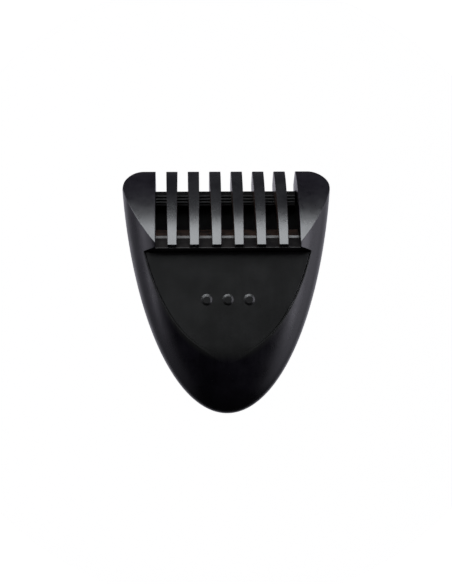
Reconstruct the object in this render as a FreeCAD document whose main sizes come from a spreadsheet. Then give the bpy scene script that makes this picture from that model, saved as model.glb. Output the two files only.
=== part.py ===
import FreeCAD, Part
import math
import os

import Sketcher

# Clipper guard comb: a shield-shaped cap that clips over a trimmer head and holds it 3 mm off the skin.
#
# Frame, in millimetres: the guard lies on its open back. +Z points out of the front face, +Y towards the
# tooth tips, +X to the right as the front is seen. The origin is in the middle of the back plane.

SIZES = [
    # The outline seen from the front: a long half ellipse that narrows to the nose, with a straight top.
    ("outline_half_width", 16.25, "half axis across of the outline's ellipse"),
    ("outline_centre", 23.8, "Y of the ellipse's centre"),
    ("nose_reach", 18.7, "distance from the origin down to the nose"),
    ("tip_reach", 18.7, "distance from the origin up to the tooth tips"),
    ("corner_radius", 3.1, "radius of the two top corners"),
    # The sides curve inwards above the widest level and draw in a little below it.
    ("side_level", 7.2, "height of the widest outline"),
    ("side_radius", 8.5, "radius of the side bands in section"),
    ("nose_rate", 3.745, "how much faster the nose recedes than the sides"),
    ("centre_rate", 2.88, "how much the ellipse's centre drops as the sides recede"),
    ("rim_draw_in", 0.35, "how far the rim at the back stands inside the widest outline"),
    ("wall", 1.6, "wall thickness"),
    ("roof", 1.8, "thickness of the front wall, panel included"),
    # The arch is the round face of the cheeks and teeth.
    ("arch_radius", 22.4, "radius of the arch"),
    ("arch_centre_y", -1.26, "Y of the arch's axis"),
    ("arch_centre_z", -5.67, "Z of the arch's axis"),
    ("arch_root_y", 7.05, "Y where the arch ends at the root"),
    ("tip_rear_z", 3.3, "height of the back edge of a tip"),
    ("tip_foot_y", 16.9, "Y where the slope behind a tip meets the back plane"),
    # The flat front panel and the step above it.
    ("panel_level", 13.15, "height of the panel face"),
    ("panel_top_y", 5.95, "Y of the plate's top edge"),
    ("step_foot_y", 6.1, "Y of the foot of the step above the panel"),
    ("step_lip_y", 6.62, "Y of the step's lip"),
    ("step_lip_z", 14.72, "height of the step's lip"),
    ("plate_depth", 0.9, "thickness of the plate"),
    ("plate_rim", 0.12, "flat rim left outside the plate at the sides"),
    ("plate_gap", 0.18, "open joint beside the plate"),
    ("plate_nose_rim", 0.3, "rim left below the plate, with no joint there"),
    # The panel rolls over into the nose instead of ending in a crease.
    ("roll_y", -7.8, "Y where the panel starts to roll over"),
    ("roll_radius", 13.3, "radius of the roll in side view"),
    ("roll_slope", 15.2, "slope at the end of the roll, in degrees"),
    ("post_radius", 0.9, "radius of the plate's locating posts"),
    ("post_spread", 7.0, "distance of a post from the middle"),
    ("post_y", 3.0, "Y of the two upper posts"),
    ("post_drop", 6.0, "how far the third post lies below them"),
    # Three raised pips, a plain mark for the guard's size.
    ("pip_height", 0.22, "how far a pip stands proud"),
    ("pip_foot", 0.85, "radius of a pip at its foot"),
    ("pip_crest", 0.55, "radius of a pip at its top"),
    ("pip_pitch", 3.2, "distance between pips"),
    ("pip_y", -1.2, "Y of the row of pips"),
    # Teeth and the window that they stand in.
    ("tooth_pitch", 3.34, "distance between teeth"),
    ("tooth_tip_half", 0.88, "half width of a tooth at its tip"),
    ("tooth_root_half", 0.68, "half width of a tooth at its root"),
    ("tooth_depth", 2.4, "depth of a tooth behind the arch"),
    ("tooth_foot_z", 0.5, "height of a tooth's foot above the back plane"),
    ("tooth_edge", 0.08, "rounding of a tooth's front edges"),
    ("tip_round", 0.45, "rounding of a tip"),
    ("window_half", 10.88, "half width between the cheeks"),
    # The root rail: a steep lip, a narrow ledge and a second steep face behind it.
    ("rail_lip_y", 6.5, "Y of the lip's front edge"),
    ("rail_lip_z", 14.6, "height of the lip"),
    ("ledge_y", 8.1, "Y of the ledge's outer edge"),
    ("ledge_z", 11.6, "height of the ledge's outer edge"),
    ("ledge_back_y", 8.5, "Y of the ledge's inner edge"),
    ("ledge_back_z", 11.42, "height of the ledge's inner edge"),
    ("rail_toe_y", 9.5, "Y of the rail's lowest edge"),
    ("rail_toe_z", 8.4, "height of the rail's lowest edge"),
    ("rail_heel_y", 8.2, "Y of the rail's inner heel"),
    ("rail_under_y", 7.3, "Y where the rail's inside meets the roof level"),
    # The rear bridge: a thin wall at the back and the ribbed bar on its top edge.
    ("bridge_low_y", 5.5, "Y of the bridge's lower edge"),
    ("bridge_thickness", 1.4, "thickness of the bridge"),
    ("bar_low_y", 13.5, "Y of the bar's lower face"),
    ("bar_top_y", 15.7, "Y of the bar's top face"),
    ("bar_front_z", 3.2, "height of the bar's front face"),
    ("rib_radius", 0.17, "radius of a rib on the bar"),
    ("rib_pitch", 0.47, "distance between ribs"),
    ("first_rib_y", 13.97, "Y of the lowest rib"),
    # The snap arms.
    ("arm_root_x", 10.9, "distance of an arm's root from the middle"),
    ("arm_root_y", 3.0, "Y of an arm's root"),
    ("arm_lean", 18.0, "angle between an arm and the Y axis, in degrees"),
    ("arm_length", 9.6, "length of an arm"),
    ("arm_half", 0.6, "half thickness of an arm"),
    ("arm_low_z", 2.0, "height of an arm's lower face"),
    ("arm_height", 4.2, "height of an arm"),
    ("arm_root_radius", 1.0, "radius of the round root"),
    ("arm_reach", 1.5, "distance from the arm's middle line to the hook's crest"),
    ("hook_start", 7.4, "distance from the root to the hook"),
    ("hook_crest", 8.7, "distance from the root to the hook's crest"),
    ("root_clearance", 0.05, "radial clearance around an arm's root"),
    ("seat_wall", 0.9, "wall around an arm's root"),
    ("seat_mouth", 0.35, "how far a seat reaches below the root's centre"),
    # Sizes that follow from the ones above.
    ("roof_level", "=panel_level - roof", "height of the inside of the front wall"),
    ("hollow_arch_radius", "=arch_radius - roof", "radius of the inside of the cheeks"),
    ("tooth_back_radius", "=arch_radius - tooth_depth", "radius of a tooth's inner edge"),
    ("roll_centre_z", "=panel_level - roll_radius", "height of the axis of the roll"),
    ("roll_end_y", "=roll_y - roll_radius * sin(roll_slope)", "Y where the roll ends"),
    ("roll_end_z", "=roll_centre_z + roll_radius * cos(roll_slope)", "height where the roll ends"),
]

TOOTH_COUNT = 6
RIB_COUNT = 3
PIP_COUNT = 3
# Half the points of an outline, and the angles on the side arc at which the form has a section.
OUTLINE_POINTS = 12
STEEPEST = 70
STEP = 7
# Further out than any part of the guard, and a level behind its back plane.
REACH = 25.0
BEHIND = -1.0
# Lengths that differ by less than this are the same.
TOLERANCE = 0.01
QUARTER_TURN = 90
ARCH_CENTRE = ("arch_centre_y", "arch_centre_z")
ROLL_CENTRE = ("roll_y", "roll_centre_z")
PLATE_BACK = "Dimensions.panel_level - Dimensions.plate_depth"
POST_END = "Dimensions.roof_level"


def make_sheet(doc):
    """The spreadsheet with the driving dimensions, one alias to a row."""
    sheet = doc.addObject("Spreadsheet::Sheet", "Dimensions")
    for row, (alias, amount, meaning) in enumerate(SIZES, start=1):
        sheet.set(f"A{row}", alias)
        sheet.set(f"B{row}", str(amount))
        sheet.set(f"C{row}", meaning)
        sheet.setAlias(f"B{row}", alias)
    doc.recompute()
    return sheet


def size(doc, name):
    """The number in the cell called name, with the sign that the name carries."""
    if name.startswith("-"):
        return -size(doc, name[1:])
    return float(getattr(doc.Dimensions, name))


def cell(name):
    """The expression that reads the cell called name."""
    if name.startswith("-"):
        return "-Dimensions." + name[1:]
    return "Dimensions." + name


# ---------------------------------------------------------------- sketches


def new_sketch(body, name, role):
    """A sketch on one of the body's own origin planes."""
    sketch = body.newObject("Sketcher::SketchObject", name)
    planes = {item.Role: item for item in body.Origin.OriginFeatures}
    sketch.AttachmentSupport = (planes[role], [""])
    sketch.MapMode = "FlatFace"
    return sketch


def place_point(doc, sketch, geometry, point, corner):
    """Hold a point of a sketch at a corner, whose coordinates are cell names or, where free, numbers."""
    for kind, coordinate in zip(("DistanceX", "DistanceY"), corner):
        if isinstance(coordinate, str):
            amount = size(doc, coordinate)
            number = sketch.addConstraint(Sketcher.Constraint(kind, geometry, point, amount))
            sketch.setExpression(f"Constraints[{number}]", cell(coordinate))


def corner_vector(doc, corner):
    """The place of a corner as a vector."""
    numbers = [size(doc, c) if isinstance(c, str) else float(c) for c in corner]
    return FreeCAD.Vector(numbers[0], numbers[1], 0)


def draw_outline(doc, sketch, corners, arcs=None):
    """Draw a closed outline. arcs gives, for a side that is round, its centre and radius cells."""
    arcs = arcs or {}
    first = sketch.GeometryCount
    ends = []
    for side, corner in enumerate(corners):
        start = corner_vector(doc, corner)
        stop = corner_vector(doc, corners[(side + 1) % len(corners)])
        if side in arcs:
            centre_corner, radius = arcs[side]
            ends.append(draw_arc(doc, sketch, start, stop, centre_corner, radius))
        else:
            sketch.addGeometry(Part.LineSegment(start, stop))
            ends.append((1, 2))
    for side, corner in enumerate(corners):
        following = (side + 1) % len(corners)
        joint = ("Coincident", first + side, ends[side][1], first + following, ends[following][0])
        sketch.addConstraint(Sketcher.Constraint(*joint))
        place_point(doc, sketch, first + side, ends[side][0], corner)


def draw_arc(doc, sketch, start, stop, centre_corner, radius):
    """Add the short arc from start to stop, and return which of its points come first and last."""
    centre = corner_vector(doc, centre_corner)
    angles = [math.atan2(p.y - centre.y, p.x - centre.x) for p in (start, stop)]
    circle = Part.Circle(centre, FreeCAD.Vector(0, 0, 1), size(doc, radius))
    number = sketch.addGeometry(Part.ArcOfCircle(circle, min(angles), max(angles)))
    place_point(doc, sketch, number, 3, centre_corner)
    held = sketch.addConstraint(Sketcher.Constraint("Radius", number, size(doc, radius)))
    sketch.setExpression(f"Constraints[{held}]", cell(radius))
    if angles[0] < angles[1]:
        return (1, 2)
    return (2, 1)


def pad(body, sketch, length, symmetric=False):
    """Pad a sketch by an expression."""
    feature = body.newObject("PartDesign::Pad", sketch.Name + "_pad")
    feature.Profile = sketch
    if symmetric:
        feature.SideType = "Symmetric"
    feature.setExpression("Length", length)
    body.Document.recompute()
    return feature


def rounded(body, edges, radius):
    """Fillet the named edges of the body's tip by an expression."""
    base = body.Tip
    feature = body.newObject("PartDesign::Fillet", body.Name + "_round")
    feature.Base = (base, edges)
    feature.setExpression("Radius", radius)
    body.Document.recompute()
    return feature


def edge_names(shape, wanted):
    """The names of the edges for which wanted is true."""
    return [f"Edge{i}" for i, edge in enumerate(shape.Edges, start=1) if wanted(edge)]


# ---------------------------------------------------------------- the shell's form


def arch_height(doc, y, depth=0.0):
    """Height of the arch at y, or of a concentric arch that lies depth inside it."""
    radius = size(doc, "arch_radius") - depth
    return size(doc, "arch_centre_z") + math.sqrt(radius**2 - (y - size(doc, "arch_centre_y")) ** 2)


def outline_point(doc, along, recess, insets, top):
    """A point of the outline. along runs from -1 at the left top over 0 at the nose to 1 at the right top."""
    side_inset, nose_inset = insets
    half = size(doc, "outline_half_width") - recess - side_inset
    centre = size(doc, "outline_centre") - size(doc, "centre_rate") * recess
    nose = -size(doc, "nose_reach") + size(doc, "nose_rate") * recess + nose_inset
    y = nose + (top - nose) * along**2
    drop = max(0.0, (centre - y) / (centre - nose))
    return math.copysign(half * math.sqrt(1 - min(1.0, drop**2)), along), y


def side_curve(doc, recess, insets, top, level):
    """The smooth curve from the left top round the nose to the right top, and half its width at the top."""
    steps = range(-OUTLINE_POINTS, OUTLINE_POINTS + 1)
    flat = [outline_point(doc, step / OUTLINE_POINTS, recess, insets, top) for step in steps]
    curve = Part.BSplineCurve()
    curve.interpolate([FreeCAD.Vector(x, y, level) for x, y in flat])
    return curve.toShape(), flat[-1][0]


def section(doc, recess, inset, top_edge, level):
    """One closed outline of the shell's form: side curve, two round corners and the straight top."""
    radius = size(doc, "corner_radius")
    corner_y = top_edge - radius
    curve, half = side_curve(doc, recess, (inset, inset), corner_y, level)
    shoulder = radius * (1 - math.sqrt(0.5))

    def point(x, y):
        return FreeCAD.Vector(x, y, level)

    right = Part.Arc(
        point(half, corner_y), point(half - shoulder, top_edge - shoulder), point(half - radius, top_edge)
    )
    top = Part.LineSegment(point(half - radius, top_edge), point(radius - half, top_edge))
    left = Part.Arc(
        point(radius - half, top_edge), point(shoulder - half, top_edge - shoulder), point(-half, corner_y)
    )
    return Part.Wire([curve, right.toShape(), top.toShape(), left.toShape()])


def form_solid(doc, radius, inset, top_edge, bottom):
    """The form in two lofts: straight sides that draw in towards the back, and round sides above."""
    side_level = size(doc, "side_level")
    draw_in = size(doc, "rim_draw_in") * (side_level - bottom) / side_level
    widest = section(doc, 0, inset, top_edge, side_level)
    rim = section(doc, 0, inset + draw_in, top_edge, bottom)
    sections = []
    for angle in range(0, STEEPEST + 1, STEP):
        rise = radius * math.sin(math.radians(angle))
        recess = radius * (1 - math.cos(math.radians(angle)))
        sections.append(section(doc, recess, inset, top_edge, side_level + rise))
    upper = Part.makeLoft(sections, True, False)
    lower = Part.makeLoft([rim, widest], True, True)
    return upper.fuse(lower)


def make_outer_form(doc):
    """The whole outer form, before the arch, the panel and the hollow are cut."""
    form = doc.addObject("Part::Feature", "outer_form")
    form.Shape = form_solid(doc, size(doc, "side_radius"), 0.0, size(doc, "tip_reach"), 0.0)
    return form


def make_hollow_form(doc):
    """The form of the inside: the outer form less the wall, reaching out through the back."""
    wall = size(doc, "wall")
    form = doc.addObject("Part::Feature", "hollow_form")
    form.Shape = form_solid(doc, size(doc, "side_radius") - wall, wall, size(doc, "bar_top_y"), BEHIND)
    return form


def make_front_profile(doc):
    """The side view of the guard, as wide as needed: panel, step, arch and tip."""
    body = doc.addObject("PartDesign::Body", "front_profile")
    sketch = new_sketch(body, "front_profile_sketch", "YZ_Plane")
    fall = (REACH + size(doc, "roll_end_y")) * math.tan(math.radians(size(doc, "roll_slope")))
    corners = [
        (-REACH, -REACH),
        (-REACH, size(doc, "roll_end_z") - fall),
        ("roll_end_y", size(doc, "roll_end_z")),
        ("roll_y", size(doc, "panel_level")),
        ("step_foot_y", "panel_level"),
        ("step_lip_y", "step_lip_z"),
        ("arch_root_y", arch_height(doc, size(doc, "arch_root_y"))),
        ("tip_reach", arch_height(doc, size(doc, "tip_reach"))),
        ("tip_reach", "tip_rear_z"),
        ("tip_foot_y", 0.0),
        ("tip_foot_y", -REACH),
    ]
    arcs = {2: (ROLL_CENTRE, "roll_radius"), 6: (ARCH_CENTRE, "arch_radius")}
    draw_outline(doc, sketch, corners, arcs)
    pad(body, sketch, str(2 * REACH), symmetric=True)
    return body


def make_inner_profile(doc):
    """The side view of the hollow: level under the panel, then parallel to the arch."""
    body = doc.addObject("PartDesign::Body", "inner_profile")
    sketch = new_sketch(body, "inner_profile_sketch", "YZ_Plane")
    corners = [
        (-REACH, -REACH),
        (-REACH, "roof_level"),
        ("rail_under_y", "roof_level"),
        ("rail_under_y", arch_height(doc, size(doc, "rail_under_y"), size(doc, "roof"))),
        ("bar_top_y", arch_height(doc, size(doc, "bar_top_y"), size(doc, "roof"))),
        ("bar_top_y", -REACH),
    ]
    draw_outline(doc, sketch, corners, {3: (ARCH_CENTRE, "hollow_arch_radius")})
    pad(body, sketch, str(2 * REACH), symmetric=True)
    return body


# ---------------------------------------------------------------- small helpers for solids


def combine(doc, kind, name, base, tool):
    """A Part::Cut, Part::Fuse or Part::Common of two objects."""
    result = doc.addObject(kind, name)
    result.Base = base
    result.Tool = tool
    return result


def make_box(doc, name, low, high):
    """A box between two corners, each given as three expressions."""
    box = doc.addObject("Part::Box", name)
    for side, start, stop in zip(("Length", "Width", "Height"), low, high):
        box.setExpression(side, f"({stop}) - ({start})")
    for axis, start in zip("xyz", low):
        box.setExpression(f"Placement.Base.{axis}", start)
    return box


def make_cylinder(doc, name, radius, height, base):
    """An upright cylinder; every size is an expression."""
    cylinder = doc.addObject("Part::Cylinder", name)
    cylinder.setExpression("Radius", radius)
    cylinder.setExpression("Height", height)
    for axis, start in zip("xyz", base):
        cylinder.setExpression(f"Placement.Base.{axis}", start)
    return cylinder


# ---------------------------------------------------------------- the front panel


def panel_outline(doc, insets, top_y, level):
    """The outline of the panel, standing in from the crease by one inset at the sides and one at the nose."""
    rise = size(doc, "panel_level") - size(doc, "side_level")
    radius = size(doc, "side_radius")
    recess = radius - math.sqrt(radius**2 - rise**2)
    curve, half = side_curve(doc, recess, insets, top_y, level)
    top = Part.LineSegment(FreeCAD.Vector(half, top_y, level), FreeCAD.Vector(-half, top_y, level))
    return Part.Wire([curve, top.toShape()])


def make_recess_form(doc):
    """The shallow recess in the shell that takes the plate, open at its top edge."""
    floor = size(doc, "panel_level") - size(doc, "plate_depth")
    insets = (size(doc, "plate_rim"), size(doc, "plate_nose_rim"))
    outline = panel_outline(doc, insets, size(doc, "step_foot_y"), floor)
    form = doc.addObject("Part::Feature", "recess_form")
    form.Shape = Part.Face(outline).extrude(FreeCAD.Vector(0, 0, 2 * size(doc, "plate_depth")))
    return form


def make_posts(doc, name, radius, low, high):
    """Three upright posts behind the plate, or the holes in the shell that take them."""
    posts = doc.addObject("Part::MultiFuse", name)
    middle_y = f"{cell('post_y')} - {cell('post_drop')}"
    places = [
        (cell("-post_spread"), cell("post_y")),
        (cell("post_spread"), cell("post_y")),
        ("0", middle_y),
    ]
    posts.Shapes = [
        make_cylinder(doc, f"{name}_{number}", radius, f"({high}) - ({low})", (x, y, low))
        for number, (x, y) in enumerate(places, start=1)
    ]
    return posts


def make_pips(doc):
    """The row of raised pips on the face of the plate."""
    pips = doc.addObject("Part::MultiFuse", "pips")
    cones = []
    for number in range(PIP_COUNT):
        cone = doc.addObject("Part::Cone", f"pip_{number + 1}")
        cone.setExpression("Radius1", cell("pip_foot"))
        cone.setExpression("Radius2", cell("pip_crest"))
        cone.setExpression("Height", cell("pip_height"))
        place = number - (PIP_COUNT - 1) / 2
        cone.setExpression("Placement.Base.x", f"{place} * {cell('pip_pitch')}")
        cone.setExpression("Placement.Base.y", cell("pip_y"))
        cone.setExpression("Placement.Base.z", cell("panel_level"))
        cones.append(cone)
    pips.Shapes = cones
    return pips


def make_size_panel(doc, front_profile):
    """The plate in the shell's recess, with the pips in front and three posts behind."""
    depth = size(doc, "plate_depth")
    floor = size(doc, "panel_level") - depth
    insets = (size(doc, "plate_rim") + size(doc, "plate_gap"), size(doc, "plate_nose_rim"))
    outline = panel_outline(doc, insets, size(doc, "panel_top_y"), floor)
    blank = doc.addObject("Part::Feature", "plate_blank")
    blank.Shape = Part.Face(outline).extrude(FreeCAD.Vector(0, 0, depth))
    plate = combine(doc, "Part::Common", "plate", blank, front_profile)
    posts = make_posts(doc, "plate_posts", cell("post_radius"), POST_END, PLATE_BACK)
    panel = doc.addObject("Part::MultiFuse", "size_panel")
    panel.Shapes = [plate, posts, make_pips(doc)]
    return panel


# ---------------------------------------------------------------- the shell


def make_arm_seats(doc, hollow):
    """Blocks on the side walls that hold the round roots of the snap arms."""
    root_x, root_y, around = cell("arm_root_x"), cell("arm_root_y"), cell("arm_root_radius")
    wall, mouth = cell("seat_wall"), cell("seat_mouth")
    blocks = []
    for side, name in ((-1, "left"), (1, "right")):
        inner = f"{root_x} - {around} - {wall}"
        outer = str(REACH)
        low_x, high_x = (inner, outer) if side > 0 else (f"-({outer})", f"-({inner})")
        low = (low_x, f"{root_y} - {mouth}", cell("arm_low_z"))
        high = (high_x, f"{root_y} + {around} + {wall}", f"{cell('arm_low_z')} + {cell('arm_height')}")
        block = make_box(doc, f"seat_block_{name}", low, high)
        bore = make_cylinder(
            doc,
            f"seat_bore_{name}",
            f"{around} + {cell('root_clearance')}",
            str(REACH),
            (f"{side} * {root_x}", root_y, "0"),
        )
        blocks.append(combine(doc, "Part::Cut", f"seat_{name}", block, bore))
    seats = combine(doc, "Part::Fuse", "seats", *blocks)
    return combine(doc, "Part::Common", "arm_seats", seats, hollow)


def make_shell(doc, front_profile, hollow):
    """The shell, with its side walls, bands, nose and two arched cheeks, and the form of its inside."""
    solid = combine(doc, "Part::Common", "shell_solid", make_outer_form(doc), front_profile)
    inside = combine(doc, "Part::Common", "shell_inside", hollow, make_inner_profile(doc))
    open_shell = combine(doc, "Part::Cut", "open_shell", solid, inside)
    half = cell("window_half")
    low = (f"-{half}", cell("step_foot_y"), str(-REACH))
    window = make_box(doc, "window", low, (half, str(REACH), str(REACH)))
    cuts = doc.addObject("Part::MultiFuse", "shell_cuts")
    holes = make_posts(doc, "post_holes", cell("post_radius"), cell("side_level"), PLATE_BACK)
    cuts.Shapes = [window, make_recess_form(doc), holes]
    cut_shell = combine(doc, "Part::Cut", "cut_shell", open_shell, cuts)
    return combine(doc, "Part::Fuse", "shell", cut_shell, make_arm_seats(doc, hollow)), inside


# ---------------------------------------------------------------- teeth, rail and bridge


def taper_tooth(doc, body):
    """Cut the flat sides of a tooth so that it is narrower at its root than at its tip."""
    sketch = new_sketch(body, body.Name + "_taper", "XY_Plane")
    for root, tip, far in (
        ("tooth_root_half", "tooth_tip_half", REACH),
        ("-tooth_root_half", "-tooth_tip_half", -REACH),
    ):
        corners = [(root, "step_lip_y"), (tip, "tip_reach"), (far, "tip_reach"), (far, "step_lip_y")]
        draw_outline(doc, sketch, corners)
    uncut = body.Tip.Shape.Volume
    pocket = body.newObject("PartDesign::Pocket", body.Name + "_sides")
    pocket.Profile = sketch
    pocket.Type = "ThroughAll"
    pocket.SideType = "Symmetric"
    doc.recompute()
    if pocket.Shape.Volume >= uncut:
        raise ValueError("the tooth's taper cuts nothing")


def round_tooth(doc, body):
    """Round the tip and then the two long front edges of a tooth."""
    reach = size(doc, "tip_reach")
    radius = size(doc, "arch_radius")

    def is_tip_edge(edge):
        box = edge.BoundBox
        return abs(box.YMin - reach) < TOLERANCE and box.ZLength < TOLERANCE

    def is_front_edge(edge):
        middle = edge.valueAt((edge.FirstParameter + edge.LastParameter) / 2)
        from_axis = math.hypot(middle.y - size(doc, "arch_centre_y"), middle.z - size(doc, "arch_centre_z"))
        return edge.Length > size(doc, "tooth_depth") and abs(from_axis - radius) < TOLERANCE

    rounded(body, edge_names(body.Tip.Shape, is_tip_edge), cell("tip_round"))
    rounded(body, edge_names(body.Tip.Shape, is_front_edge), cell("tooth_edge"))


def make_tooth(doc, number):
    """One arched tooth: a fin from the root rail over the ribbed bar to a round tip."""
    body = doc.addObject("PartDesign::Body", f"tooth_{number}")
    side_view = new_sketch(body, f"tooth_{number}_side", "YZ_Plane")
    depth = size(doc, "tooth_depth")
    corners = [
        ("arch_root_y", arch_height(doc, size(doc, "arch_root_y"))),
        ("tip_reach", arch_height(doc, size(doc, "tip_reach"))),
        ("tip_reach", "tip_rear_z"),
        ("tip_foot_y", "tooth_foot_z"),
        ("bar_top_y", "tooth_foot_z"),
        ("bar_top_y", "bar_front_z"),
        ("bar_low_y", "bar_front_z"),
        ("bar_low_y", arch_height(doc, size(doc, "bar_low_y"), depth)),
        ("ledge_back_y", arch_height(doc, size(doc, "ledge_back_y"), depth)),
        ("ledge_back_y", "ledge_back_z"),
        ("ledge_y", "ledge_z"),
        ("step_lip_y", "rail_lip_z"),
    ]
    arcs = {0: (ARCH_CENTRE, "arch_radius"), 7: (ARCH_CENTRE, "tooth_back_radius")}
    draw_outline(doc, side_view, corners, arcs)
    pad(body, side_view, "2 * Dimensions.tooth_tip_half", symmetric=True)
    taper_tooth(doc, body)
    round_tooth(doc, body)
    place = number - (TOOTH_COUNT + 1) / 2
    body.setExpression("Placement.Base.x", f"{place} * Dimensions.tooth_pitch")
    return body


def make_root_rail(doc):
    """The stepped rail between the cheeks that carries the tooth feet."""
    body = doc.addObject("PartDesign::Body", "root_rail")
    sketch = new_sketch(body, "rail_side", "YZ_Plane")
    corners = [
        ("step_foot_y", "panel_level"),
        ("rail_lip_y", "rail_lip_z"),
        ("step_lip_y", "rail_lip_z"),
        ("ledge_y", "ledge_z"),
        ("ledge_back_y", "ledge_back_z"),
        ("rail_toe_y", "rail_toe_z"),
        ("rail_heel_y", "rail_toe_z"),
        ("rail_under_y", "roof_level"),
        ("step_foot_y", "roof_level"),
    ]
    draw_outline(doc, sketch, corners)
    pad(body, sketch, "2 * Dimensions.window_half", symmetric=True)
    return body


def make_ribs(doc, teeth):
    """The fine ribs along the bar, which stop at the teeth."""
    ribs = doc.addObject("Part::MultiFuse", "whole_ribs")
    rods = []
    for number in range(RIB_COUNT):
        rod = doc.addObject("Part::Cylinder", f"rib_{number + 1}")
        rod.setExpression("Radius", cell("rib_radius"))
        rod.setExpression("Height", "2 * Dimensions.window_half")
        rod.Placement.Rotation = FreeCAD.Rotation(FreeCAD.Vector(0, 1, 0), QUARTER_TURN)
        rod.setExpression("Placement.Base.x", cell("-window_half"))
        rod.setExpression("Placement.Base.y", f"{cell('first_rib_y')} + {number} * {cell('rib_pitch')}")
        rod.setExpression("Placement.Base.z", cell("bar_front_z"))
        rods.append(rod)
    ribs.Shapes = rods
    in_the_way = doc.addObject("Part::Compound", "all_teeth")
    in_the_way.Links = teeth
    return combine(doc, "Part::Cut", "ribs", ribs, in_the_way)


def make_rear_bridge(doc, inside, teeth):
    """The rear wall under the teeth, with the ribbed bar along its top edge."""
    low = (str(-REACH), cell("bridge_low_y"), "0")
    blank = make_box(doc, "bridge_blank", low, (str(REACH), cell("bar_top_y"), cell("bridge_thickness")))
    wall = combine(doc, "Part::Common", "bridge_wall", blank, inside)
    low = (cell("-window_half"), cell("bar_low_y"), "0")
    bar = make_box(doc, "ribbed_bar", low, (cell("window_half"), cell("bar_top_y"), cell("bar_front_z")))
    bridge = doc.addObject("Part::MultiFuse", "rear_bridge")
    bridge.Shapes = [wall, bar, make_ribs(doc, teeth)]
    return bridge


# ---------------------------------------------------------------- the snap arms


def make_snap_arm(doc, name, side):
    """One snap arm: a round root, a straight flexing beam and a hook that faces the middle."""
    body = doc.addObject("PartDesign::Body", name)
    sketch = new_sketch(body, name + "_beam", "XY_Plane")
    near, far = ("-arm_half", "arm_half") if side > 0 else ("arm_half", "-arm_half")
    crest = "-arm_reach" if side > 0 else "arm_reach"
    corners = [
        (far, "-arm_half"),
        (near, "-arm_half"),
        (near, "-hook_start"),
        (crest, "-hook_crest"),
        (near, "-arm_length"),
        (far, "-arm_length"),
    ]
    draw_outline(doc, sketch, corners)
    pad(body, sketch, cell("arm_height"))
    ring = new_sketch(body, name + "_root", "XY_Plane")
    centre = FreeCAD.Vector(0, 0, 0)
    ring.addGeometry(Part.Circle(centre, FreeCAD.Vector(0, 0, 1), size(doc, "arm_root_radius")))
    ring.addConstraint(Sketcher.Constraint("Coincident", 0, 3, -1, 1))
    held = ring.addConstraint(Sketcher.Constraint("Radius", 0, size(doc, "arm_root_radius")))
    ring.setExpression(f"Constraints[{held}]", cell("arm_root_radius"))
    pad(body, ring, cell("arm_height"))
    lean = side * -size(doc, "arm_lean")
    body.Placement.Rotation = FreeCAD.Rotation(FreeCAD.Vector(0, 0, 1), lean)
    body.setExpression("Placement.Base.x", f"{side} * {cell('arm_root_x')}")
    body.setExpression("Placement.Base.y", cell("arm_root_y"))
    body.setExpression("Placement.Base.z", cell("arm_low_z"))
    return body


# ---------------------------------------------------------------- the document


def check_document(doc, sub_parts):
    """Stop if any object has failed or any sub-part has no valid solid."""
    for obj in doc.Objects:
        if "Invalid" in obj.State or "Error" in obj.State:
            raise ValueError(f"{obj.Name} has failed: {obj.State}")
    for label, obj in sub_parts.items():
        if obj.Shape.isNull() or not obj.Shape.isValid() or not obj.Shape.Solids:
            raise ValueError(f"{label} has no valid shape")


def main():
    """Build the document and write one STEP file for each sub-part."""
    doc = FreeCAD.newDocument("guard_comb")
    make_sheet(doc)
    front_profile = make_front_profile(doc)
    shell, inside = make_shell(doc, front_profile, make_hollow_form(doc))
    teeth = [make_tooth(doc, number) for number in range(1, TOOTH_COUNT + 1)]
    sub_parts = {
        "shell": shell,
        "size_panel": make_size_panel(doc, front_profile),
        "root_rail": make_root_rail(doc),
        "rear_bridge": make_rear_bridge(doc, inside, teeth),
        "snap_arm_left": make_snap_arm(doc, "snap_arm_left", -1),
        "snap_arm_right": make_snap_arm(doc, "snap_arm_right", 1),
    }
    for number, tooth in enumerate(teeth, start=1):
        sub_parts[f"tooth_{number}"] = tooth
    for label, obj in sub_parts.items():
        obj.Label = label
    doc.recompute()
    check_document(doc, sub_parts)
    os.makedirs("parts", exist_ok=True)
    for label, obj in sub_parts.items():
        obj.Shape.exportStep(f"parts/{label}.step")


main()
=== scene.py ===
import math

import bpy
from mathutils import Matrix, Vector

# A clipper guard comb in black moulded plastic, lying on a white table in soft studio light.

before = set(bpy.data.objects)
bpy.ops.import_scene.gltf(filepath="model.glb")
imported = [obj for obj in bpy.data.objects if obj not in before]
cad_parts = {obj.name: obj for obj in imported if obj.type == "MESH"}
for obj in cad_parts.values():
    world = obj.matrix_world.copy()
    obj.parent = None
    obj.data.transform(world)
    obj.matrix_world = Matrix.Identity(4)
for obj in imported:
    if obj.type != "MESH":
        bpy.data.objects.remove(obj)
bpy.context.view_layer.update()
MM = 0.001

# ---------------------------------------------------------------- node helpers

# Object coordinates are in metres at rest, so a texture scale is in features a metre.
PER_MM = 1000.0
# The two inputs and the output of a mix node that carry colours, and those that carry vectors.
COLOUR_SOCKETS = (6, 7, 2)
VECTOR_SOCKETS = (4, 5, 1)


def opaque(colour):
    """A colour with full alpha."""
    return (*colour, 1.0)


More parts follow.
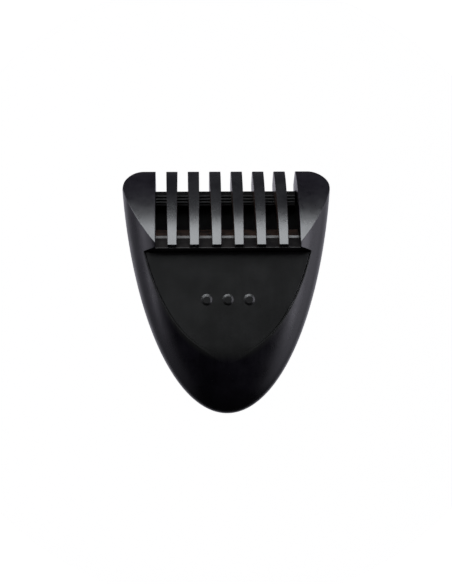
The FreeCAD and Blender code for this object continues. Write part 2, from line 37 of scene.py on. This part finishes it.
class Graph:
    """The node tree of a material or world, with short calls for the nodes used here."""

    def __init__(self, owner, output="ShaderNodeOutputMaterial"):
        owner.use_nodes = True
        self.tree = owner.node_tree
        self.tree.nodes.clear()
        self.output = self.node(output)

    def node(self, kind, **settings):
        made = self.tree.nodes.new(kind)
        for key, value in settings.items():
            setattr(made, key, value)
        return made

    def link(self, source, target):
        self.tree.links.new(source, target)

    def feed(self, socket, value):
        """Link a socket to another, or set its default to a number or colour."""
        if isinstance(value, bpy.types.NodeSocket):
            self.link(value, socket)
        else:
            socket.default_value = value

    def math(self, operation, first, second=0.0, clamp=False):
        made = self.node("ShaderNodeMath", operation=operation, use_clamp=clamp)
        self.feed(made.inputs[0], first)
        self.feed(made.inputs[1], second)
        return made.outputs[0]

    def times(self, first, second):
        return self.math("MULTIPLY", first, second)

    def plus(self, first, second, clamp=False):
        return self.math("ADD", first, second, clamp)

    def rest_of(self, share):
        """What is left of 1."""
        return self.math("SUBTRACT", 1.0, share)

    def spread(self, value, low, high, to_low=0.0, to_high=1.0):
        """Map low..high to to_low..to_high, smoothly and without going past them."""
        made = self.node("ShaderNodeMapRange", interpolation_type="SMOOTHSTEP", clamp=True)
        for socket, given in zip(made.inputs, (value, low, high, to_low, to_high)):
            self.feed(socket, given)
        return made.outputs[0]

    def blend(self, kind, sockets, share, first, second):
        """Mix two values of a kind, by the numbers of the node's sockets for it."""
        first_in, second_in, out = sockets
        made = self.node("ShaderNodeMix", data_type=kind)
        self.feed(made.inputs["Factor"], share)
        self.feed(made.inputs[first_in], first)
        self.feed(made.inputs[second_in], second)
        return made.outputs[out]

    def mix(self, share, first, second):
        """Mix two colours."""
        return self.blend("RGBA", COLOUR_SOCKETS, share, first, second)

    def mix_normals(self, share, first, second):
        """Mix two normals and bring the result back to unit length."""
        unit = self.node("ShaderNodeVectorMath", operation="NORMALIZE")
        self.link(self.blend("VECTOR", VECTOR_SOCKETS, share, first, second), unit.inputs[0])
        return unit.outputs[0]

    def place(self, stretch=(1.0, 1.0, 1.0), turn=0.0):
        """Object coordinates, turned about Z and stretched."""
        coordinates = self.node("ShaderNodeTexCoord")
        mapping = self.node("ShaderNodeMapping")
        mapping.inputs["Rotation"].default_value = (0.0, 0.0, turn)
        mapping.inputs["Scale"].default_value = stretch
        self.link(coordinates.outputs["Object"], mapping.inputs["Vector"])
        return mapping.outputs["Vector"]

    def axis(self, letter):
        """One of the object coordinates."""
        split = self.node("ShaderNodeSeparateXYZ")
        coordinates = self.node("ShaderNodeTexCoord")
        self.link(coordinates.outputs["Object"], split.inputs[0])
        return split.outputs[letter]

    def noise(self, per_mm, detail=2.0, rough=0.5, at=None):
        made = self.node("ShaderNodeTexNoise")
        self.link(at or self.place(), made.inputs["Vector"])
        made.inputs["Scale"].default_value = per_mm * PER_MM
        made.inputs["Detail"].default_value = detail
        made.inputs["Roughness"].default_value = rough
        return made.outputs["Fac"]

    def specks(self, per_mm, size):
        """Small round dots, one to a cell."""
        made = self.node("ShaderNodeTexVoronoi")
        self.link(self.place(), made.inputs["Vector"])
        made.inputs["Scale"].default_value = per_mm * PER_MM
        return self.spread(made.outputs["Distance"], size, size * 0.5)

    def bump(self, height, distance, strength, normal):
        made = self.node("ShaderNodeBump")
        made.inputs["Strength"].default_value = strength
        made.inputs["Distance"].default_value = distance
        self.feed(made.inputs["Height"], height)
        self.link(normal, made.inputs["Normal"])
        return made.outputs["Normal"]


# ---------------------------------------------------------------- what marks the plastic

# A noise is its features a millimetre, its detail and its roughness. A pair of limits is where a thing starts
# and where it is full.
BEVEL_SAMPLES = 6
# Cosine of the angle by which the rounded normal turns from the true one.
EDGE_TURN = (0.985, 0.80)
RUBBED_NOISE = (0.9, 3.0)
RUBBED_PATCHES = (0.35, 0.65)
RUBBED_ROUGHNESS = -0.08
# A rubbed edge is this many times as bright as the plastic, and this much brighter still.
WORN_GAIN = 3.2
WORN_LIFT = 0.012
MOTTLE_NOISE = (0.22, 4.0, 0.6)
MOTTLE_TONE = (0.35, 0.65)
MOTTLE_ROUGHNESS = (0.3, 0.7)
GRAIN_NOISE = (9.0, 2.0, 0.55)
FLOW_NOISE = (1.6, 2.0, 0.5)
FLOW_STRETCH = (1.0, 0.12, 1.0)
FLOW_LIMITS = (0.3, 0.7)
FLOW_ROUGHNESS = 0.02
# How deep the flow marks are, in depths of the grain, and how strongly they tilt the surface.
FLOW_DEPTH = 1.5
FLOW_STRENGTH = 0.3
SCRATCH_NOISE = (5.0, 1.0, 0.4)
# Scratches run in two directions, each with its stretch, turn and limits.
SCRATCH_RUNS = (
    ((1.0, 0.03, 0.3), 0.5, (0.70, 0.76)),
    ((0.03, 1.0, 0.3), -0.3, (0.71, 0.77)),
)
SCRATCH_ROUGHNESS = -0.10
SCRATCH_HEIGHT = -0.6
LINT_PER_MM = 1.9
LINT_SIZE = 0.055
LINT_NOISE = (0.5, 1.0)
LINT_PATCHES = (0.50, 0.62)
LINT_COLOUR = (0.16, 0.15, 0.14)
LINT_HEIGHT = 1.2
# The joint between plate and shell closes up towards the nose, where no edge shows on the front.
JOINT_CLOSES_Y = (-1.0 * MM, -4.5 * MM)
FRONT_Z = (11.6 * MM, 12.0 * MM)
# The matt texture covers the front at the panel's level and below the foot of the step.
MATT_Z = (12.80 * MM, 13.12 * MM)
MATT_Y = (6.1 * MM, 5.9 * MM)
# The warm wall starts above the rail's ledge.
LEDGE_Y = (8.2 * MM, 8.6 * MM)
WARM_PATCHES = (0.3, 0.6)
# How far a flat side faces along X, for the painted warm light on the sides.
SIDEWAYS = (0.8, 0.95)
PLASTIC_IOR = 1.5


def rounded_edges(g, edge_round):
    """The normal with the edges rounded, and the share of each edge that can be rubbed."""
    closed = g.times(g.spread(g.axis("Y"), *JOINT_CLOSES_Y), g.spread(g.axis("Z"), *FRONT_Z))
    bevel = g.node("ShaderNodeBevel", samples=BEVEL_SAMPLES)
    bevel.inputs["Radius"].default_value = edge_round
    true_normal = g.node("ShaderNodeNewGeometry").outputs["Normal"]
    normal = g.mix_normals(closed, bevel.outputs["Normal"], true_normal)
    turn = g.node("ShaderNodeVectorMath", operation="DOT_PRODUCT")
    g.link(bevel.outputs["Normal"], turn.inputs[0])
    g.link(true_normal, turn.inputs[1])
    return normal, g.times(g.spread(turn.outputs["Value"], *EDGE_TURN), g.rest_of(closed))


def scratch_lines(g):
    """Fine straight scratches in two directions."""
    runs = [
        g.spread(g.noise(*SCRATCH_NOISE, g.place(stretch, turn)), *limits)
        for stretch, turn, limits in SCRATCH_RUNS
    ]
    return g.plus(*runs, clamp=True)


def loose_lint(g):
    """Specks of dust, gathered in patches."""
    patches = g.noise(*LINT_NOISE)
    return g.times(g.specks(LINT_PER_MM, LINT_SIZE), g.spread(patches, *LINT_PATCHES))


def faces_sideways(g):
    """1 on the flat sides that face along X."""
    facing = g.node("ShaderNodeSeparateXYZ")
    g.link(g.node("ShaderNodeNewGeometry").outputs["Normal"], facing.inputs[0])
    return g.spread(g.math("ABSOLUTE", facing.outputs["X"]), *SIDEWAYS)


# ---------------------------------------------------------------- plastics


def moulded_plastic(
    name,
    dark,
    light,
    roughness,
    grain,
    edge_round,
    wear,
    scratches,
    dust,
    flow_marks=1.0,
    shine=0.5,
    matt_front=None,
    painted_side_light=None,
    warm_wall=None,
):
    """Black moulded plastic.

    dark and light are the two tones that it varies between, roughness its two limits, grain the depth
    of its fine texture, edge_round the rounding of its edges, and wear how much the edges are rubbed.
    scratches, dust and flow_marks say how much of each it carries, and shine is its specular level.
    matt_front, where given, is the colour and roughness of a matt texture that covers the front below
    the step. painted_side_light, where given, is painted warm light: a lighter, warmer tone on the flat sides
    that face along X. warm_wall is the tone of the wall above the root rail's ledge.
    """
    material = bpy.data.materials.new(name)
    g = Graph(material)
    edge_normal, edges = rounded_edges(g, edge_round)
    patches = g.noise(*RUBBED_NOISE)
    rubbed = g.times(g.times(edges, g.spread(patches, *RUBBED_PATCHES)), wear)
    mottle = g.noise(*MOTTLE_NOISE)
    flow = g.noise(*FLOW_NOISE, g.place(FLOW_STRETCH))
    lines = g.times(scratch_lines(g), scratches)
    lint = g.times(loose_lint(g), dust)

    colour = g.mix(g.spread(mottle, *MOTTLE_TONE), opaque(dark), opaque(light))
    worn = [min(1.0, channel * WORN_GAIN + WORN_LIFT) for channel in light]
    colour = g.mix(rubbed, colour, opaque(worn))
    rough = g.spread(mottle, *MOTTLE_ROUGHNESS, *roughness)
    # Painted warm light: the flat sides that face along X get a lighter brown that stands in for light caught
    # on them.
    if painted_side_light:
        colour = g.mix(faces_sideways(g), colour, opaque(painted_side_light))
    if warm_wall:
        above_ledge = g.times(g.spread(g.axis("Y"), *LEDGE_Y), g.spread(patches, *WARM_PATCHES))
        colour = g.mix(above_ledge, colour, opaque(warm_wall))
    if matt_front:
        matt_colour, matt_roughness = matt_front
        matt = g.times(g.spread(g.axis("Z"), *MATT_Z), g.spread(g.axis("Y"), *MATT_Y))
        colour = g.mix(matt, colour, opaque(matt_colour))
        rough = g.plus(g.times(rough, g.rest_of(matt)), g.times(matt, matt_roughness))
    colour = g.mix(lint, colour, opaque(LINT_COLOUR))
    uneven = FLOW_ROUGHNESS * flow_marks
    rough = g.plus(rough, g.spread(flow, *FLOW_LIMITS, -uneven, uneven))
    rough = g.plus(rough, g.times(lines, SCRATCH_ROUGHNESS))
    rough = g.plus(rough, g.times(rubbed, RUBBED_ROUGHNESS), clamp=True)

    height = g.plus(g.noise(*GRAIN_NOISE), g.times(lines, SCRATCH_HEIGHT))
    height = g.plus(height, g.times(lint, LINT_HEIGHT))
    normal = g.bump(height, grain, 1.0, edge_normal)
    normal = g.bump(flow, grain * FLOW_DEPTH, FLOW_STRENGTH * flow_marks, normal)

    shader = g.node("ShaderNodeBsdfPrincipled")
    g.link(colour, shader.inputs["Base Color"])
    g.link(rough, shader.inputs["Roughness"])
    g.link(normal, shader.inputs["Normal"])
    shader.inputs["IOR"].default_value = PLASTIC_IOR
    shader.inputs["Specular IOR Level"].default_value = shine
    g.link(shader.outputs["BSDF"], g.output.inputs["Surface"])
    return material


SHELL = moulded_plastic(
    "shell_satin_plastic",
    dark=(0.0010, 0.0007, 0.0017),
    light=(0.0022, 0.0017, 0.0032),
    roughness=(0.27, 0.34),
    grain=0.006 * MM,
    edge_round=0.16 * MM,
    wear=0.8,
    scratches=0.35,
    dust=0.25,
    matt_front=((0.0038, 0.0038, 0.0036), 0.38),
)
TEETH = moulded_plastic(
    "tooth_satin_plastic",
    dark=(0.0040, 0.0040, 0.0046),
    light=(0.0070, 0.0070, 0.0076),
    roughness=(0.24, 0.29),
    grain=0.006 * MM,
    edge_round=0.05 * MM,
    wear=0.9,
    scratches=0.15,
    dust=0.05,
    flow_marks=0.25,
    # Painted warm light on the teeth's sides that face along X.
    painted_side_light=(0.026, 0.014, 0.010),
)
PANEL = moulded_plastic(
    "panel_matt_plastic",
    dark=(0.0034, 0.0034, 0.0032),
    light=(0.0044, 0.0044, 0.0042),
    roughness=(0.36, 0.40),
    grain=0.007 * MM,
    edge_round=0.12 * MM,
    wear=0.5,
    scratches=0.20,
    dust=0.15,
    flow_marks=0.3,
)
RAIL = moulded_plastic(
    "rail_glossy_plastic",
    dark=(0.0022, 0.0019, 0.0018),
    light=(0.0048, 0.0040, 0.0036),
    roughness=(0.32, 0.50),
    grain=0.012 * MM,
    edge_round=0.10 * MM,
    wear=1.0,
    scratches=0.3,
    dust=0.9,
    shine=0.38,
    warm_wall=(0.024, 0.013, 0.009),
)
BRIDGE = moulded_plastic(
    "bridge_dull_plastic",
    dark=(0.0008, 0.0007, 0.0009),
    light=(0.0020, 0.0018, 0.0021),
    roughness=(0.42, 0.52),
    grain=0.006 * MM,
    edge_round=0.06 * MM,
    wear=0.5,
    scratches=0.2,
    dust=0.4,
    shine=0.22,
)
ARMS = moulded_plastic(
    "arm_plain_plastic",
    dark=(0.0040, 0.0038, 0.0042),
    light=(0.0090, 0.0086, 0.0092),
    roughness=(0.30, 0.38),
    grain=0.005 * MM,
    edge_round=0.10 * MM,
    wear=0.6,
    scratches=0.3,
    dust=0.3,
)

FINISHES = {"shell": SHELL, "size_panel": PANEL, "root_rail": RAIL, "rear_bridge": BRIDGE}
for node_name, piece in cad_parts.items():
    if node_name.startswith("tooth_"):
        finish = TEETH
    else:
        finish = FINISHES.get(node_name, ARMS)
    piece.data.materials.clear()
    piece.data.materials.append(finish)

# ---------------------------------------------------------------- the white table

FLOOR_RADIUS = 1.1
FLOOR_CENTRE = 0.05
SWEEP = 0.5
SWEEP_STEPS = 12
WALL_TOP = 1.2
ROUND_STEPS = 96
PAPER_COLOUR = (0.62, 0.62, 0.62)
PAPER_ROUGHNESS = 0.9
PAPER_GLOW = 0.98


def lathe(name, profile, steps):
    """A round form from a profile of radius and height, closed in the middle."""
    points = []
    faces = []
    for radius, height in profile:
        for step in range(steps):
            turn = 2 * math.pi * step / steps
            points.append((radius * math.cos(turn), radius * math.sin(turn), height))
    for ring in range(len(profile) - 1):
        for step in range(steps):
            near = ring * steps + step
            far = ring * steps + (step + 1) % steps
            faces.append((near, far, far + steps, near + steps))
    faces.append(tuple(range(steps)))
    mesh = bpy.data.meshes.new(name)
    mesh.from_pydata(points, [], faces)
    mesh.polygons.foreach_set("use_smooth", [True] * len(mesh.polygons))
    made = bpy.data.objects.new(name, mesh)
    bpy.context.scene.collection.objects.link(made)
    return made


def studio_paper():
    """White paper that glows evenly, so that the background stays as plain as a cut-out."""
    material = bpy.data.materials.new("studio_paper")
    g = Graph(material)
    shader = g.node("ShaderNodeBsdfPrincipled")
    shader.inputs["Base Color"].default_value = opaque(PAPER_COLOUR)
    shader.inputs["Roughness"].default_value = PAPER_ROUGHNESS
    shader.inputs["Specular IOR Level"].default_value = 0.0
    shader.inputs["Emission Color"].default_value = (1.0, 1.0, 1.0, 1.0)
    shader.inputs["Emission Strength"].default_value = PAPER_GLOW
    g.link(shader.outputs["BSDF"], g.output.inputs["Surface"])
    return material


profile = [(FLOOR_CENTRE, 0.0), (FLOOR_RADIUS, 0.0)]
for step in range(1, SWEEP_STEPS + 1):
    angle = math.pi / 2 * step / SWEEP_STEPS
    profile.append((FLOOR_RADIUS + SWEEP * math.sin(angle), SWEEP * (1 - math.cos(angle))))
profile.append((FLOOR_RADIUS + SWEEP, WALL_TOP))
floor = lathe("studio_floor", profile, ROUND_STEPS)
floor.data.materials.append(studio_paper())
floor.visible_glossy = False
floor.visible_diffuse = False
floor.visible_shadow = False

# ---------------------------------------------------------------- the lights

LAMP_DISTANCE = 0.4
COOL = (0.93, 0.965, 1.0)
VIOLET = (0.90, 0.88, 1.0)


def softbox(name, azimuth, off_zenith, width, height, radiance, colour):
    """A rectangular light aimed at the object. Azimuth 0 is over the +X side and 90 over the +Y side."""
    data = bpy.data.lights.new(name, "AREA")
    data.shape = "RECTANGLE"
    data.size, data.size_y = width, height
    data.energy = radiance * math.pi * width * height
    data.color = colour
    lamp = bpy.data.objects.new(name, data)
    around, down = math.radians(azimuth), math.radians(off_zenith)
    towards = Vector(
        (math.cos(around) * math.sin(down), math.sin(around) * math.sin(down), math.cos(down))
    )
    lamp.location = towards * LAMP_DISTANCE
    lamp.visible_camera = False
    lamp.rotation_mode = "QUATERNION"
    lamp.rotation_quaternion = towards.to_track_quat("Z", "Y")
    bpy.context.scene.collection.objects.link(lamp)


softbox("key_softbox", 102, 48, 0.48, 0.23, 9.4, COOL)
softbox("key_corner_softbox", 112, 69, 0.22, 0.12, 2.8, COOL)
softbox("right_softbox", 4, 76, 0.46, 0.20, 2.3, VIOLET)
softbox("left_softbox", 174, 90, 0.46, 0.16, 1.35, VIOLET)

# What the plastic mirrors: pale card on both sides, brighter on the right and low on the left, a dim room
# beyond the tips, the white table below, and black card everywhere else.
BLACK_CARD = (0.008, 0.008, 0.009)
# Where a card ends at the top: never, or between these two heights of the direction.
OPEN_TOP = (3.0, 2.0)
LOW_TOP = (0.42, 0.12)
# A card is an axis of the direction, the limits along it, where it ends at the top, and its colour.
SURROUNDINGS = (
    ("Y", (0.20, 0.80), OPEN_TOP, (0.055, 0.053, 0.065)),
    ("X", (0.58, 0.97), OPEN_TOP, (0.80, 0.79, 0.90)),
    ("X", (-0.50, -0.95), LOW_TOP, (0.27, 0.265, 0.31)),
    ("Z", (-0.62, -0.965), OPEN_TOP, (0.58, 0.57, 0.65)),
)


def studio_cards():
    """The world: the cards and the room around the object, which light it and show in its gloss."""
    world = bpy.data.worlds.new("studio_cards")
    g = Graph(world, "ShaderNodeOutputWorld")
    direction = g.node("ShaderNodeTexCoord")
    parts = g.node("ShaderNodeSeparateXYZ")
    g.link(direction.outputs["Generated"], parts.inputs[0])
    shade = opaque(BLACK_CARD)
    for letter, limits, top, card in SURROUNDINGS:
        share = g.times(g.spread(parts.outputs[letter], *limits), g.spread(parts.outputs["Z"], *top))
        shade = g.mix(share, shade, opaque(card))
    background = g.node("ShaderNodeBackground")
    g.link(shade, background.inputs["Color"])
    g.link(background.outputs[0], g.output.inputs["Surface"])
    return world


bpy.context.scene.world = studio_cards()
bpy.context.scene.view_settings.view_transform = "Standard"

# ---------------------------------------------------------------- the camera

SENSOR = 36.0
LENS = 97.1
CLIP_START = 0.01
# The photograph is turned a little, so the camera is rolled.
ROLL = math.radians(-0.30)
CAMERA_FROM = Vector((-7.64 * MM, 0.0, 249.5 * MM))
CAMERA_TO = Vector((-0.03 * MM, 0.0, 4.5 * MM))
camera_data = bpy.data.cameras.new("camera")
camera_data.sensor_width = SENSOR
camera_data.lens = LENS
camera_data.clip_start = CLIP_START
camera = bpy.data.objects.new("camera", camera_data)
camera.location = CAMERA_FROM
look = CAMERA_TO - CAMERA_FROM
camera.rotation_euler = (0.0, -math.atan2(look.x, -look.z), ROLL)
bpy.context.scene.collection.objects.link(camera)
bpy.context.scene.camera = camera
